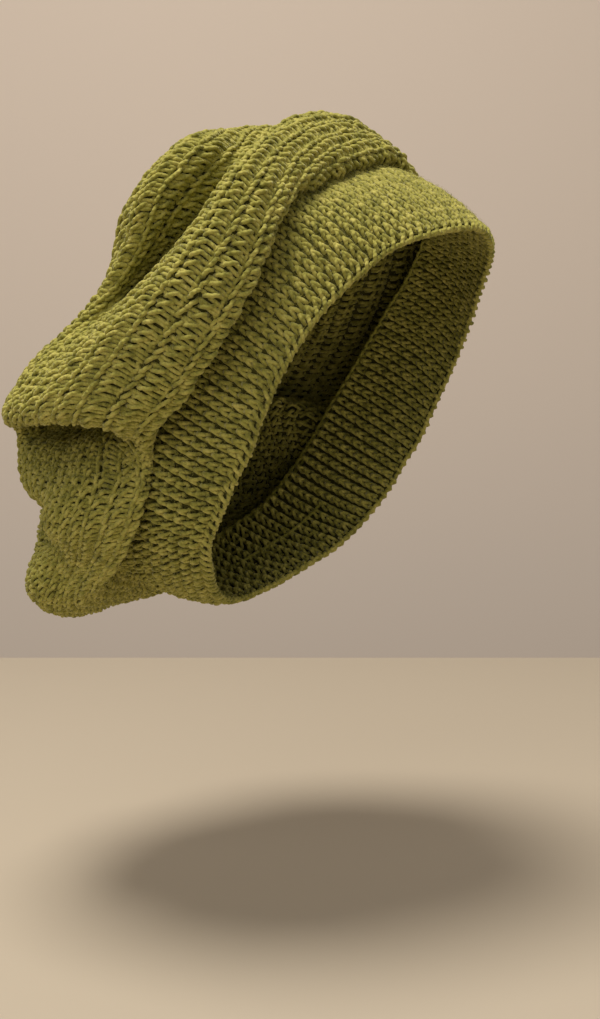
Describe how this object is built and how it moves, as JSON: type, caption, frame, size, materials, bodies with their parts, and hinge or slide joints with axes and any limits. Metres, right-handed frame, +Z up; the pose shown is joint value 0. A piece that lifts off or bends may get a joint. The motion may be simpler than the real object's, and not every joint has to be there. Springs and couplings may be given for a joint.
{
  "type": "slouchy crochet hat",
  "caption": "Slouchy crochet hat of green yarn, with a ribbed band and a gathered bag that folds over the band and hangs behind.",
  "frame": {"origin": "centre of the head opening, halfway between the rim at the forehead and the rim at the nape", "axes": "+Z up and -Y the way the wearer looks, with the hat as it sits on a head; the wearer's right is -X"},
  "size_m": [0.214, 0.2044, 0.2081],
  "materials": {
    "green_yarn": "matte, fuzzy yarn",
    "joining_yarn": "matte, fuzzy yarn"
  },
  "bodies": {
    "root": {"ribbed_band": "green_yarn", "band_seam": "joining_yarn", "joining_round": "joining_yarn", "slouch_body": "green_yarn", "crown_closure": "joining_yarn", "band_yarn_end": "joining_yarn", "body_yarn_end": "joining_yarn", "crown_yarn_end": "joining_yarn"}
  },
  "joints": []
}
